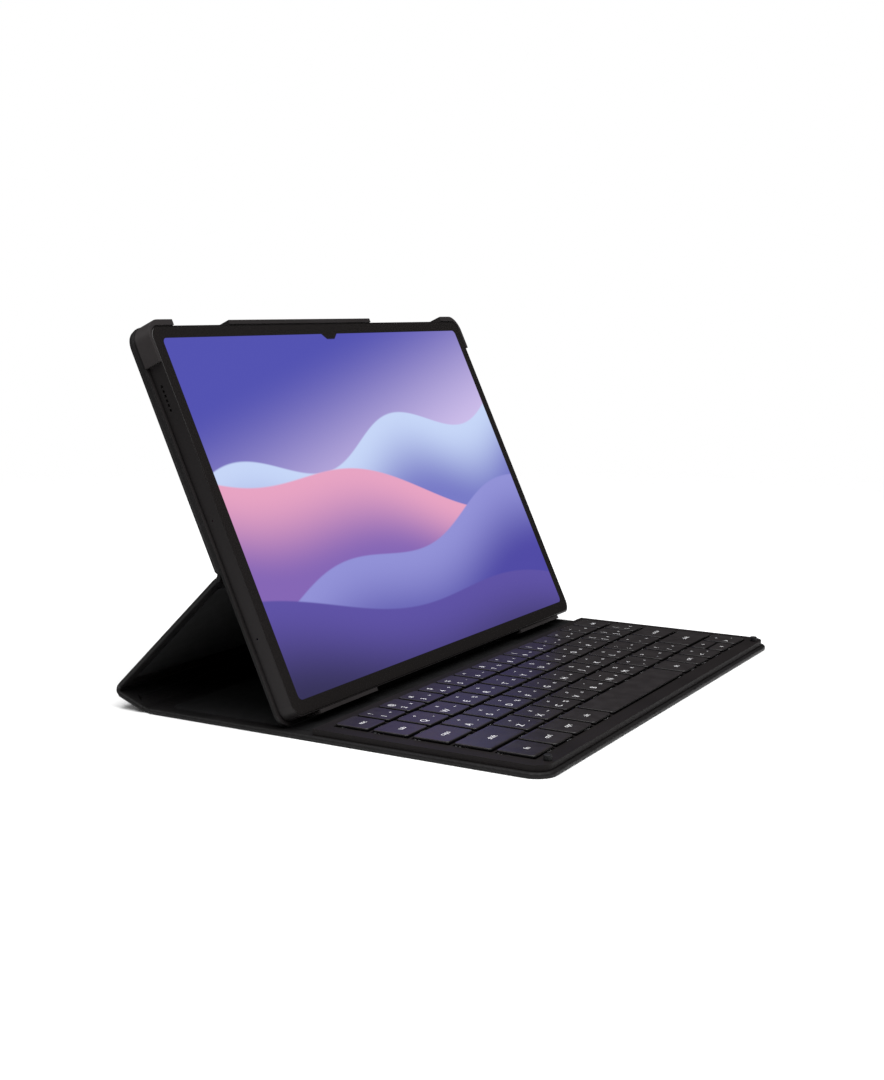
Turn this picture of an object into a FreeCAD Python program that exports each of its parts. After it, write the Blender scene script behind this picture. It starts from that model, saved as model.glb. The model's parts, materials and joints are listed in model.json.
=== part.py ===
"""Leather-look folio keyboard case standing in its typing position, with a tablet in its tray.

Every piece is drawn flat in the frame of the panel that carries it: X to the right, Y along the
panel away from its front fold, Z out of its inner face. A Placement then stands the piece up.
The base's frame is the model's own: Z = 0 is the table, and Y = 0 is the middle of the footprint.
"""
import FreeCAD, Part
import math
import os
import re

import Sketcher

doc = FreeCAD.newDocument("TabletKeyboardCase")


# ---------------------------------------------------------------- driving dimensions (mm, degrees)

sheet = doc.addObject("Spreadsheet::Sheet", "Sizes")
DRIVING = {
    # footprint and folds
    "CaseWidth": 287.0, "BaseFront": -108.4, "FirstFold": 90.1, "SkinCorner": 10.0,
    "SpineLength": 18.6, "SpineAngle": 20.9,
    "LowerBackLength": 83.2, "LowerBackAngle": 135.6, "StandAngle": 64.9,
    # how a panel is made up
    "PanelThick": 2.5, "SkinThick": 0.7, "LiningThick": 0.6, "TurnedEdge": 7.0, "SkinWrap": 1.5,
    "LowerBackThick": 2.15, "FirstGap": 1.4, "RearGap": 2.2, "MidGap": 1.6,
    "FoldRoll": 0.9, "FoldWeb": 0.8, "FoldInset": 1.5,
    # keyboard
    "BoardRim": 2.2, "KeyboardRear": 1.6, "DeckTop": 5.1, "DeckSkin": 0.8, "DeckWall": 1.5,
    "BottomPlate": 0.6, "DeckCorner": 8.0,
    "KeyFieldLeft": -133.0, "KeyFieldRight": 131.5, "KeyFieldFront": -98.0, "RowPitch": 19.3,
    "KeyDepth": 17.4, "NumberKeyDepth": 16.6, "KeyGap": 1.8, "KeyTop": 6.3, "KeyThick": 1.2,
    "KeyCorner": 1.6, "KeyEdge": 0.3, "KeyPlay": 0.35, "KeyTravel": 1.0,
    "CircuitThick": 0.3, "DomeSheetThick": 0.2, "DomeRise": 0.8, "DomeRadius": 2.4,
    "ScrewRadius": 0.7, "ScrewHeadRadius": 1.3, "BossRadius": 1.9, "ScrewX": 40.0,
    "PegX": 131.5, "PegY": -102.9, "PegRadius": 1.7, "PegRise": 2.4,
    "PortY": -29.6, "PortWidth": 7.5, "PortHeight": 2.3, "PortDepth": 6.6, "PortWall": 0.25,
    "SwitchY": -77.6, "SwitchLength": 3.0, "SwitchTravel": 2.0, "SwitchTop": 4.0,
    # tray
    "FoldUpGlass": 68.6, "TrayStack": 9.7, "TrayPlate": 1.6, "TrayLining": 0.4, "TrayFoot": 1.8,
    "TrayTop": 184.3, "TrayCorner": 9.0, "FootCorner": 7.0, "WallOutset": 0.3, "WallRise": 0.4,
    "CapInner": 124.0, "CapLow": 164.5, "StripLeft": -82.0, "StripRight": 45.0, "StripTop": 183.7,
    "LipInner": 76.0, "CutoutX": 114.0, "CutoutY": 166.0, "CutoutLength": 34.0, "CutoutWidth": 15.0,
    # tablet
    "TabletWidth": 284.0, "TabletHeight": 181.4, "TabletThick": 7.6, "TabletCorner": 6.0,
    "TabletPlay": 0.15, "TabletWall": 1.5, "TabletBack": 0.8, "GlassThick": 0.7, "GlassInset": 0.4,
    "SideBezel": 6.7, "LowBezel": 6.6, "TopBezel": 5.9, "DisplayThick": 1.2, "DisplayCorner": 2.5,
    "GrilleLow": 143.0, "GrillePitch": 2.2, "SideHoleDepth": -4.6,
}
for row, (alias, value) in enumerate(DRIVING.items(), start=1):
    sheet.set(f"A{row}", str(value))
    sheet.setAlias(f"A{row}", alias)
doc.recompute()


def linked(formula):
    """The formula as an expression in which each driving dimension is read from the sheet."""
    return re.sub(r"[A-Z][A-Za-z]+", lambda word: "Sizes." + word.group(0), str(formula))


def bind(thing, path, formula):
    """Ties one property of a document object to a formula in driving dimensions."""
    thing.setExpression(path, linked(formula))


# ---------------------------------------------------------------- shapes that the pieces share

def box(name, x, y, z):
    """A block between two formulas on each axis."""
    block = doc.addObject("Part::Box", name)
    for side, path, (low, high) in (("Length", "x", x), ("Width", "y", y), ("Height", "z", z)):
        bind(block, side, f"({high}) - ({low})")
        bind(block, "Placement.Base." + path, low)
    return block


def pin(name, x, y, z, radius):
    """A round pin standing along Z between the two formulas of z."""
    rod = doc.addObject("Part::Cylinder", name)
    bind(rod, "Radius", radius)
    bind(rod, "Height", f"({z[1]}) - ({z[0]})")
    for path, formula in (("x", x), ("y", y), ("z", z[0])):
        bind(rod, "Placement.Base." + path, formula)
    return rod


def corner_arc(x, y, radius, turn):
    """A quarter circle inside the corner (x, y); turn counts quarter turns from the front right."""
    inward_x, inward_y = ((-1, 1), (-1, -1), (1, -1), (1, 1))[turn]
    centre = FreeCAD.Vector(x + inward_x * radius, y + inward_y * radius, 0)
    circle = Part.Circle(centre, FreeCAD.Vector(0, 0, 1), radius)
    return Part.ArcOfCircle(circle, (turn - 1) * math.pi / 2, turn * math.pi / 2)


def outline(sketch, x, y, front, rear):
    """A rectangle whose front and rear corners are rounded, each size tied to its formula."""
    value = lambda formula: sketch.evalExpression(linked(formula))
    left, right, low, high = (float(value(f)) for f in (x[0], x[1], y[0], y[1]))
    corners = ((right, low, front), (right, high, rear), (left, high, rear), (left, low, front))
    arcs = [corner_arc(cx, cy, float(value(r)), turn) for turn, (cx, cy, r) in enumerate(corners)]
    arc_ids = [sketch.addGeometry(arc, False) for arc in arcs]
    line_ids = []
    for turn in range(4):
        start, end = arcs[turn - 1].EndPoint, arcs[turn].StartPoint
        line_ids.append(sketch.addGeometry(Part.LineSegment(start, end), False))
    for turn in range(4):
        sketch.addConstraint(Sketcher.Constraint("Tangent", line_ids[turn], 2, arc_ids[turn], 1))
        following = line_ids[(turn + 1) % 4]
        sketch.addConstraint(Sketcher.Constraint("Tangent", arc_ids[turn], 2, following, 1))
    for turn, kind in enumerate(("Horizontal", "Vertical", "Horizontal", "Vertical")):
        sketch.addConstraint(Sketcher.Constraint(kind, line_ids[turn]))
    sides = (("DistanceY", 0, y[0]), ("DistanceX", 1, x[1]), ("DistanceY", 2, y[1]), ("DistanceX", 3, x[0]))
    for kind, turn, formula in sides:
        rule = Sketcher.Constraint(kind, -1, 1, line_ids[turn], 1, float(value(formula)))
        bind(sketch, f"Constraints[{sketch.addConstraint(rule)}]", formula)
    for turn, (cx, cy, radius) in enumerate(corners):
        rule = Sketcher.Constraint("Radius", arc_ids[turn], float(value(radius)))
        bind(sketch, f"Constraints[{sketch.addConstraint(rule)}]", radius)


def plate(name, x, y, z, front=1, rear=1):
    """A flat plate between the formulas of x, y and z, with rounded front and rear corners."""
    body = doc.addObject("PartDesign::Body", name)
    sketch = body.newObject("Sketcher::SketchObject", name + "_outline")
    ground = next(f for f in body.Origin.OriginFeatures if f.Role == "XY_Plane")
    sketch.AttachmentSupport = (ground, [""])
    sketch.MapMode = "FlatFace"
    bind(sketch, "AttachmentOffset.Base.z", z[0])
    outline(sketch, x, y, front, rear)
    pad = body.newObject("PartDesign::Pad", name + "_pad")
    pad.Profile = sketch
    bind(pad, "Length", f"({z[1]}) - ({z[0]})")
    return body


def joined(name, parts):
    """One solid fused from several."""
    fuse = doc.addObject("Part::MultiFuse", name)
    fuse.Shapes = parts
    fuse.Refine = True
    return fuse


def group(name, parts):
    """Several separate solids kept together."""
    compound = doc.addObject("Part::Compound", name)
    compound.Links = parts
    return compound


def less(name, solid, tools):
    """The solid with every tool cut out of it."""
    cut = doc.addObject("Part::Cut", name)
    cut.Base = solid
    cut.Tool = tools[0] if len(tools) == 1 else group(name + "_tools", tools)
    return cut


def both_ways(half):
    """The pair of formulas that spans the case's middle plane."""
    return f"-({half})", half


# ---------------------------------------------------------------- where each panel stands

SECOND_FOLD = ("FirstFold + SpineLength * cos(SpineAngle)",
               "PanelThick / 2 + SpineLength * sin(SpineAngle)")
MID_FOLD = (f"{SECOND_FOLD[0]} + LowerBackLength * cos(LowerBackAngle)",
            f"{SECOND_FOLD[1]} + LowerBackLength * sin(LowerBackAngle)")
GLASS_TO_FOLD = "(TrayStack + PanelThick / 2)"
STANCES = {
    "spine": ("FirstFold", "PanelThick / 2", "SpineAngle"),
    "lower_back": (*SECOND_FOLD, "LowerBackAngle"),
    "tray": (f"{MID_FOLD[0]} - FoldUpGlass * cos(StandAngle) - {GLASS_TO_FOLD} * sin(StandAngle)",
             f"{MID_FOLD[1]} - FoldUpGlass * sin(StandAngle) + {GLASS_TO_FOLD} * cos(StandAngle)",
             "StandAngle"),
}
finished = []


def finish(piece, node, panel="base"):
    """Names a finished piece and stands it up with the panel that carries it."""
    if panel in STANCES:
        if piece.TypeId in ("Part::Box", "Part::Cylinder"):
            piece = group(node + "_stood_up", [piece])
        y, z, angle = STANCES[panel]
        piece.Placement = FreeCAD.Placement(FreeCAD.Vector(), FreeCAD.Rotation(FreeCAD.Vector(1, 0, 0), 1))
        bind(piece, "Placement.Base.y", y)
        bind(piece, "Placement.Base.z", z)
        bind(piece, "Placement.Rotation.Angle", angle)
    piece.Label = node
    finished.append(piece)
    return piece


def skin(name, x_half, y, z, inner_top, front, rear):
    """A cover skin turned over its board: a plate with the board's room cut out of its middle."""
    outer = plate(name + "_outer", both_ways(x_half), y, z, front, rear)
    room = plate(name + "_room", both_ways(f"{x_half} - SkinWrap"),
                 (f"{y[0]} + SkinWrap", f"{y[1]} - SkinWrap"),
                 (f"{z[0]} + SkinThick", inner_top), f"{front} - SkinWrap + 1", f"{rear} - SkinWrap + 1")
    return outer, room


def fold_roll(node, panel, y, from_end):
    """The soft roll of a fold, with the web that joins it to the panel that it belongs to."""
    half = "CaseWidth / 2 - FoldInset"
    roll = doc.addObject("Part::Cylinder", node + "_roll")
    roll.Placement.Rotation = FreeCAD.Rotation(FreeCAD.Vector(0, 1, 0), 90)
    bind(roll, "Radius", "FoldRoll")
    bind(roll, "Height", f"2 * ({half})")
    bind(roll, "Placement.Base.x", f"-({half})")
    bind(roll, "Placement.Base.y", y)
    middle = "PanelThick / 2" if panel == "base" else "0"
    bind(roll, "Placement.Base.z", middle)
    web = box(node + "_web", both_ways(half), (from_end, y), (f"{middle} - FoldWeb / 2", f"{middle} + FoldWeb / 2"))
    return finish(joined(node + "_solid", [roll, web]), node, panel)


# ---------------------------------------------------------------- base: skin, board and lining

BASE_REAR = "FirstFold - FirstGap"
KEYBOARD = both_ways("CaseWidth / 2 - BoardRim")
KEYBOARD_FRONT = "BaseFront + BoardRim"
LINING_BOTTOM = "PanelThick - LiningThick"

outer, room = skin("base_cover", "CaseWidth / 2", ("BaseFront", BASE_REAR), ("0", "PanelThick"),
                   LINING_BOTTOM, "SkinCorner", "1.5")
keyboard_bay = plate("base_cover_bay", KEYBOARD, (KEYBOARD_FRONT, "KeyboardRear"),
                     (LINING_BOTTOM, "PanelThick + 1"), "DeckCorner", "0.5")
lining_size = (both_ways("CaseWidth / 2 - TurnedEdge"), ("KeyboardRear - 0.5", f"{BASE_REAR} - TurnedEdge"))
lining_bay = plate("base_cover_lining_bay", *lining_size, (LINING_BOTTOM, "PanelThick + 1"), 0.2, 6)
finish(less("base_cover_solid", outer, [room, keyboard_bay, lining_bay]), "base_cover")

MAGNET_Y = ("8.9", "17.9")
MAGNETS = [(f"{x} - 14", f"{x} + 14") for x in (-105, -35, 35, 105)]


def stand_magnet_bars(name):
    """Four bar magnets set into the top of the base board, under the tray's foot."""
    return [box(f"{name}{i}", x, MAGNET_Y, ("SkinThick + 0.2", LINING_BOTTOM)) for i, x in enumerate(MAGNETS)]


board = plate("base_board_blank", both_ways("CaseWidth / 2 - SkinWrap"),
              ("BaseFront + SkinWrap", f"{BASE_REAR} - SkinWrap"), ("SkinThick", LINING_BOTTOM),
              "SkinCorner - SkinWrap + 1", "1")
finish(less("base_board_solid", board, stand_magnet_bars("magnet_room")), "base_board")
finish(group("stand_magnets_group", stand_magnet_bars("stand_magnet")), "stand_magnets")
lining = plate("base_lining_blank", *lining_size, (LINING_BOTTOM, "PanelThick"), 0.2, 6)
keyboard_foot = box("base_lining_step", KEYBOARD, ("KeyboardRear - 2", "KeyboardRear"), ("0", "PanelThick"))
finish(less("base_lining_solid", lining, [keyboard_foot]), "base_lining")
fold_roll("base_fold_strip", "base", "FirstFold", BASE_REAR)


# ---------------------------------------------------------------- keyboard: the layout of its keys

FIELD = "(KeyFieldRight - KeyFieldLeft)"
ROWS = [
    # node of the row's plain keys, relative key widths, and the keys with a node of their own
    ("bottom_row_keys", [1.05, 1, 1, 1.05, 5, 0.97, 0.87, 0.97, 1, 0.93],
     {0: "modifier_keys", 1: "modifier_keys", 2: "modifier_keys", 3: "modifier_keys", 4: "space_bar",
      5: "right_modifier_keys", 6: "right_modifier_keys", 7: "left_arrow_key", 9: "right_arrow_key"}),
    ("lower_letter_keys", [1.85] + [1] * 10 + [1.87], {0: "left_shift_key", 11: "right_shift_key"}),
    ("home_letter_keys", [1.25] + [1] * 11 + [1.25], {0: "caps_lock_key", 12: "enter_key"}),
    ("upper_letter_keys", [1] * 11 + [0.8] * 3, {0: "tab_key"}),
    ("number_keys", [1] * 15, {0: "escape_key", 14: "backspace_key"}),
]
UP_DOWN_ROW, UP_DOWN_KEY = 0, 8


def key_places():
    """Every key as (node, x span, y span), each span a pair of formulas."""
    for row, (row_node, widths, special) in enumerate(ROWS):
        front = f"KeyFieldFront + {row} * RowPitch"
        depth = "NumberKeyDepth" if row == len(ROWS) - 1 else "KeyDepth"
        unit = f"({FIELD} - {len(widths) - 1} * KeyGap) / {sum(widths):.4f}"
        for place, width in enumerate(widths):
            left = f"KeyFieldLeft + {place} * KeyGap + {sum(widths[:place]):.4f} * {unit}"
            x = (left, f"{left} + {width} * {unit}")
            if (row, place) == (UP_DOWN_ROW, UP_DOWN_KEY):
                middle = f"{front} + {depth} / 2"
                yield "down_arrow_key", x, (front, f"{middle} - KeyGap / 4")
                yield "up_arrow_key", x, (f"{middle} + KeyGap / 4", f"{front} + {depth}")
            else:
                yield special.get(place, row_node), x, (front, f"{front} + {depth}")


def key_cap(name, x, y):
    """One cap: a block with rounded corners and a softened top edge."""
    block = box(name + "_block", x, y, ("KeyTop - KeyThick", "KeyTop"))
    doc.recompute()
    rounding = doc.addObject("Part::Fillet", name)
    rounding.Base = block
    top = block.Shape.BoundBox.ZMax
    edges = []
    for number, edge in enumerate(block.Shape.Edges, start=1):
        heights = [vertex.Point.z for vertex in edge.Vertexes]
        if max(heights) - min(heights) > 0.1:
            edges.append((number, DRIVING["KeyCorner"], DRIVING["KeyCorner"]))
        elif min(heights) > top - 0.1:
            edges.append((number, DRIVING["KeyEdge"], DRIVING["KeyEdge"]))
    rounding.Edges = edges
    return rounding


def centre(span):
    """The middle of a pair of formulas."""
    return f"(({span[0]}) + ({span[1]})) / 2"


keys = list(key_places())
caps = {}
windows = []
domes = []
DOME_Z = ("PanelThick + CircuitThick", "PanelThick + CircuitThick + DomeSheetThick + DomeRise")
for number, (node, x, y) in enumerate(keys):
    caps.setdefault(node, []).append(key_cap(f"cap{number}", x, y))
    windows.append(box(f"window{number}", (f"{x[0]} - KeyPlay", f"{x[1]} + KeyPlay"),
                       (f"{y[0]} - KeyPlay", f"{y[1]} + KeyPlay"), ("PanelThick + 1", "DeckTop + 1")))
    domes.append(pin(f"dome{number}", centre(x), centre(y), DOME_Z, "DomeRadius"))
for node, row_caps in caps.items():
    finish(row_caps[0] if len(row_caps) == 1 else group(node + "_group", row_caps), node)


# ---------------------------------------------------------------- keyboard: casing and inner pieces

WALL_X = "(CaseWidth / 2 - BoardRim)"
INNER_X = f"({WALL_X} - DeckWall)"
CEILING = "(DeckTop - DeckSkin)"
FRONT_STRIP = ("BaseFront + BoardRim + DeckWall + 0.2", "KeyFieldFront - 0.8")
PORT_Y = ("PortY - PortWidth / 2", "PortY + PortWidth / 2")
PORT_Z = (LINING_BOTTOM, f"{LINING_BOTTOM} + PortHeight")
SWITCH_Z = ("SwitchTop - 0.8", "SwitchTop")
LED_PLACES = [f"PortY - {12 + 5 * i}" for i in range(3)]
SCREWS = [(f"{sign} * {span} * ScrewX", y) for y in ("PegY + 0.6", "KeyboardRear - DeckWall - 1.6")
          for sign in (-1, 1) for span in (1, 3)]


def led_blocks(name):
    """Three small lights side by side in the right wall."""
    return [box(f"{name}{i}", (INNER_X, WALL_X), (f"{y} - 0.8", f"{y} + 0.8"), ("3.2", "4.0"))
            for i, y in enumerate(LED_PLACES)]


shell = plate("deck_blank", KEYBOARD, (KEYBOARD_FRONT, "KeyboardRear"), ("PanelThick", "DeckTop"),
              "DeckCorner", "0.5")
hollow = plate("deck_hollow", both_ways(INNER_X), ("BaseFront + BoardRim + DeckWall", "KeyboardRear - DeckWall"),
               ("PanelThick - 1", CEILING), "DeckCorner - DeckWall", "0.5")
port_hole = box("deck_port_hole", (f"{INNER_X} - 1", f"{WALL_X} + 1"), PORT_Y, PORT_Z)
switch_slot = box("deck_switch_slot", (f"{INNER_X} - 1", f"{WALL_X} + 1"),
                  ("SwitchY - SwitchLength / 2 - 0.15", "SwitchY + SwitchLength / 2 + SwitchTravel + 0.15"),
                  ("SwitchTop - 0.95", "SwitchTop + 0.15"))
casing = less("deck_casing", shell, [hollow, port_hole, switch_slot, *led_blocks("led_hole"), *windows])
bosses = [pin(f"boss{i}", x, y, ("PanelThick", CEILING), "BossRadius") for i, (x, y) in enumerate(SCREWS)]
deck = joined("deck_with_bosses", [casing, *bosses])
holes = [pin(f"boss_hole{i}", x, y, ("PanelThick - 1", f"{CEILING} - 0.3"), "ScrewRadius")
         for i, (x, y) in enumerate(SCREWS)]
finish(less("keyboard_deck_solid", deck, holes), "keyboard_deck")

bottom = plate("bottom_plate_blank", KEYBOARD, (KEYBOARD_FRONT, "KeyboardRear"), (LINING_BOTTOM, "PanelThick"),
               "DeckCorner", "0.5")
screw_rooms = [pin(f"screw_room{i}", x, y, ("0", "DeckTop"), "ScrewHeadRadius") for i, (x, y) in enumerate(SCREWS)]
port_notch = box("bottom_plate_notch", ("CaseWidth / 2 - BoardRim - PortDepth", "CaseWidth / 2"), PORT_Y, ("0", "DeckTop"))
finish(less("bottom_plate_solid", bottom, [port_notch, *screw_rooms]), "keyboard_bottom_plate")

screws = []
for i, (x, y) in enumerate(SCREWS):
    head = pin(f"screw_head{i}", x, y, (LINING_BOTTOM, "PanelThick"), "ScrewHeadRadius")
    shank = pin(f"screw_shank{i}", x, y, (LINING_BOTTOM, f"{CEILING} - 0.4"), "ScrewRadius")
    screws.append(joined(f"screw{i}", [head, shank]))
finish(group("deck_screws_group", screws), "deck_screws")

sheet_x = ("KeyFieldLeft - 0.5", "KeyFieldRight + 0.5")
sheet_y = ("KeyFieldFront - 0.2", "KeyFieldFront + 4 * RowPitch + NumberKeyDepth")
circuit = box("circuit_blank", sheet_x, sheet_y, ("PanelThick", "PanelThick + CircuitThick"))
finish(circuit, "key_circuit_sheet")
dome_sheet = box("dome_sheet_blank", sheet_x, sheet_y,
                 ("PanelThick + CircuitThick", "PanelThick + CircuitThick + DomeSheetThick"))
finish(joined("dome_sheet_solid", [dome_sheet, *domes]), "key_dome_sheet")
finish(box("battery_cell", ("-34", "34"), FRONT_STRIP, ("PanelThick", f"{CEILING} - 0.1")), "keyboard_battery")

RIGHT_STRIP = ("KeyFieldRight + 1.0", f"{INNER_X} - 0.3")
circuit_card = box("controller_card", RIGHT_STRIP, ("PortY - 45", "PortY - PortWidth / 2 - 0.3"), ("PanelThick", "3.1"))
chip = box("controller_chip", ("KeyFieldRight + 2.0", f"{INNER_X} - 2.3"), ("PortY - 27", "PortY - 22"), ("3.1", "3.9"))
finish(joined("controller_board_solid", [circuit_card, chip]), "controller_board")

port_x = (f"{WALL_X} - PortDepth", WALL_X)
port_shell = box("port_shell", port_x, PORT_Y, PORT_Z)
port_mouth = box("port_mouth", (f"{port_x[0]} + 1", f"{WALL_X} + 1"),
                 (f"{PORT_Y[0]} + PortWall", f"{PORT_Y[1]} - PortWall"), (f"{PORT_Z[0]} + PortWall", f"{PORT_Z[1]} - PortWall"))
tongue = box("port_tongue", (f"{port_x[0]} + 0.5", f"{WALL_X} - 1"), ("PortY - 2.4", "PortY + 2.4"),
             (f"{PORT_Z[1]} - 1.1", f"{PORT_Z[1]} - 0.6"))
finish(joined("charge_port_solid", [less("port_can", port_shell, [port_mouth]), tongue]), "charge_port")
finish(group("status_leds_group", led_blocks("led")), "status_leds")
finish(box("switch_knob", (f"{INNER_X} - 0.4", f"{WALL_X} + 0.6"),
           ("SwitchY - SwitchLength / 2", "SwitchY + SwitchLength / 2"), SWITCH_Z), "power_switch")
pegs = [pin(f"peg{side}", f"{side} * PegX", "PegY", ("DeckTop", "DeckTop + PegRise"), "PegRadius") for side in (-1, 1)]
finish(group("case_bumpers_group", pegs), "case_bumpers")


# ---------------------------------------------------------------- spine and lower back panel

def folding_panel(node, x_half, y, z, edge_y):
    """A skin, its board and its lining, all in the panel's own frame."""
    inner = f"{z[1]} - LiningThick"
    outer, room = skin(node + "_cover", x_half, y, z, inner, "1.5", "1.5")
    lining_x = both_ways(f"{x_half} - TurnedEdge")
    lining_y = (f"{y[0]} + {edge_y}", f"{y[1]} - {edge_y}")
    bay = plate(node + "_bay", lining_x, lining_y, (inner, f"{z[1]} + 1"), 2, 2)
    finish(less(node + "_cover_solid", outer, [room, bay]), node + "_cover", node)
    lining = plate(node + "_lining_solid", lining_x, lining_y, (inner, z[1]), 2, 2)
    finish(lining, node + "_lining", node)
    return plate(node + "_board_blank", both_ways(f"{x_half} - SkinWrap"),
                 (f"{y[0]} + SkinWrap", f"{y[1]} - SkinWrap"), (f"{z[0]} + SkinThick", inner), 1, 1)


OUTER_FACE = "-PanelThick / 2"
spine_board = folding_panel("spine", "CaseWidth / 2", ("FirstGap", "SpineLength - RearGap"),
                            (OUTER_FACE, "PanelThick / 2"), "2.4")
finish(spine_board, "spine_board", "spine")
fold_roll("rear_fold_strip", "spine", "SpineLength", "SpineLength - RearGap")

LOWER_INNER = "(LowerBackThick - PanelThick / 2)"
lower_board = folding_panel("lower_back", "CaseWidth / 2", ("RearGap", "LowerBackLength - MidGap"),
                            (OUTER_FACE, LOWER_INNER), "TurnedEdge")
DISC_PLACES = [(x, y) for x in (-117, 117) for y in (16, 62)]


def panel_discs(name):
    """Round magnets that hold the lower back panel against the tray when the case is folded."""
    z = ("-PanelThick / 2 + SkinThick", f"{LOWER_INNER} - LiningThick")
    return [pin(f"{name}{i}", x, y, z, 5) for i, (x, y) in enumerate(DISC_PLACES)]


finish(less("lower_back_board_solid", lower_board, panel_discs("disc_room")), "lower_back_board", "lower_back")
finish(group("panel_magnets_group", panel_discs("disc")), "panel_magnets", "lower_back")
fold_roll("mid_fold_strip", "lower_back", "LowerBackLength", "LowerBackLength - MidGap")


# ---------------------------------------------------------------- upper back panel and tray

GLASS_X = "(TabletWidth / 2)"
BACK_FACE = "(-TrayStack - PanelThick)"


def camera_hole(name, z):
    """The long round-ended opening for the tablet's rear cameras."""
    return plate(name, ("CutoutX - CutoutLength / 2", "CutoutX + CutoutLength / 2"),
                 ("CutoutY - CutoutWidth / 2", "CutoutY + CutoutWidth / 2"), z,
                 "CutoutWidth / 2 - 0.1", "CutoutWidth / 2 - 0.1")


back_outer, back_room = skin("upper_back_cover", "CaseWidth / 2", ("FoldUpGlass + MidGap", "TrayTop"),
                             (BACK_FACE, "-TrayStack"), "-TrayStack + 1", "1.5", "TrayCorner")
finish(less("upper_back_cover_solid", back_outer, [back_room, camera_hole("cover_camera_hole", (f"{BACK_FACE} - 1", "0"))]),
       "upper_back_cover", "tray")
back_board = plate("upper_back_board_blank", both_ways("CaseWidth / 2 - SkinWrap"),
                   ("FoldUpGlass + MidGap + SkinWrap", "TrayTop - SkinWrap"), (f"{BACK_FACE} + SkinThick", "-TrayStack"),
                   "1", "TrayCorner - SkinWrap + 1")
finish(less("upper_back_board_solid", back_board, [camera_hole("board_camera_hole", (f"{BACK_FACE} - 1", "0"))]),
       "upper_back_board", "tray")

PLATE_Z = ("-TrayStack", "-TrayStack + TrayPlate")
RIM_X = "(CaseWidth / 2 + WallOutset)"
back_plate = plate("tray_plate", both_ways("CaseWidth / 2"), ("-TrayFoot", "TrayTop"), PLATE_Z, "FootCorner", "TrayCorner")
rim_block = plate("tray_rim_block", both_ways(RIM_X), ("-TrayFoot", "TrayTop"), (PLATE_Z[0], "WallRise"),
                  "FootCorner", "TrayCorner")
tablet_room = plate("tray_tablet_room", both_ways(f"{GLASS_X} + TabletPlay"), ("-TabletPlay", "TabletHeight + TabletPlay"),
                    (f"{PLATE_Z[0]} - 1", "WallRise + 1"), "TabletCorner", "TabletCorner")
rim = less("tray_rim", rim_block, [tablet_room])
ALL_HEIGHTS = ("-TrayStack - 1", "WallRise + 1")
kept_walls = [box("keep_strip", ("StripLeft", "StripRight"), ("TabletHeight", "StripTop"), ALL_HEIGHTS)]
for side, (cap_x, lip_x) in {"left": (("-CaseWidth", "-CapInner"), ("-CapInner", "-LipInner")),
                             "right": (("CapInner", "CaseWidth"), ("LipInner", "CapInner"))}.items():
    kept_walls.append(box(f"keep_{side}_cap", cap_x, ("CapLow", "TrayTop + 1"), ALL_HEIGHTS))
    kept_walls.append(box(f"keep_{side}_lip", lip_x, ("-TrayFoot - 1", "1"), ALL_HEIGHTS))
walls = doc.addObject("Part::Common", "tray_walls")
walls.Base = rim
walls.Tool = group("tray_kept_walls", kept_walls)
STEEL = (both_ways("112"), ("-TrayFoot + 1", "7"), ("-TrayStack", "-TrayStack + 0.7"))
steel_room = box("steel_room", *STEEL)
tray = less("tray_shell_solid", joined("tray_blank", [back_plate, walls]),
            [camera_hole("tray_camera_hole", ALL_HEIGHTS), steel_room])
finish(tray, "tray_shell", "tray")
finish(box("steel_strip", *STEEL), "foot_steel_strip", "tray")
tray_pad = plate("tray_pad", both_ways(f"{GLASS_X} - 2"), ("2", "TabletHeight - 2"), (PLATE_Z[1], f"{PLATE_Z[1]} + TrayLining"),
                 "TabletCorner", "TabletCorner")
finish(less("tray_lining_solid", tray_pad, [camera_hole("lining_camera_hole", ALL_HEIGHTS)]), "tray_lining", "tray")


# ---------------------------------------------------------------- tablet: housing, glass and display

GLASS_PLATE = (both_ways(f"{GLASS_X} - GlassInset"), ("GlassInset", "TabletHeight - GlassInset"))
INSIDE_X = f"({GLASS_X} - TabletWall)"
INSIDE_FLOOR = "(-TabletThick + TabletBack)"
BUTTONS = {"tablet_power_button": ("-118", "-109"), "tablet_volume_button": ("-105", "-87")}
BUTTON_Z = ("-5.0", "-3.0")
CAMERA_X = ("CutoutX - CutoutLength / 2 + 3", "CutoutX + CutoutLength / 2 - 3")
CAMERA_Y = ("CutoutY - CutoutWidth / 2 + 2", "CutoutY + CutoutWidth / 2 - 2")

housing_blank = plate("housing_blank", both_ways(GLASS_X), ("0", "TabletHeight"), ("-TabletThick", "-0.1"),
                      "TabletCorner", "TabletCorner")
glass_seat = plate("glass_seat", *GLASS_PLATE, ("-GlassThick", "1"), "TabletCorner - GlassInset", "TabletCorner - GlassInset")
inside = plate("housing_inside", both_ways(INSIDE_X), ("TabletWall", "TabletHeight - TabletWall"), (INSIDE_FLOOR, "1"),
               "TabletCorner - TabletWall", "TabletCorner - TabletWall")
side_holes = []
for side in (-1, 1):
    span = (f"{GLASS_X} - 2.5", f"{GLASS_X} + 1") if side > 0 else (f"-{GLASS_X} - 1", f"-{GLASS_X} + 2.5")
    for slot in range(6):
        low = f"GrilleLow + {slot} * GrillePitch"
        side_holes.append(box(f"grille{side}_{slot}", span, (low, f"{low} + 1.3"), ("SideHoleDepth - 0.55", "SideHoleDepth + 0.55")))
    for place in (37.6, 92):
        side_holes.append(box(f"mic{side}_{int(place)}", span, (f"{place} - 0.4", f"{place} + 0.4"),
                              ("SideHoleDepth - 0.4", "SideHoleDepth + 0.4")))
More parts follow.
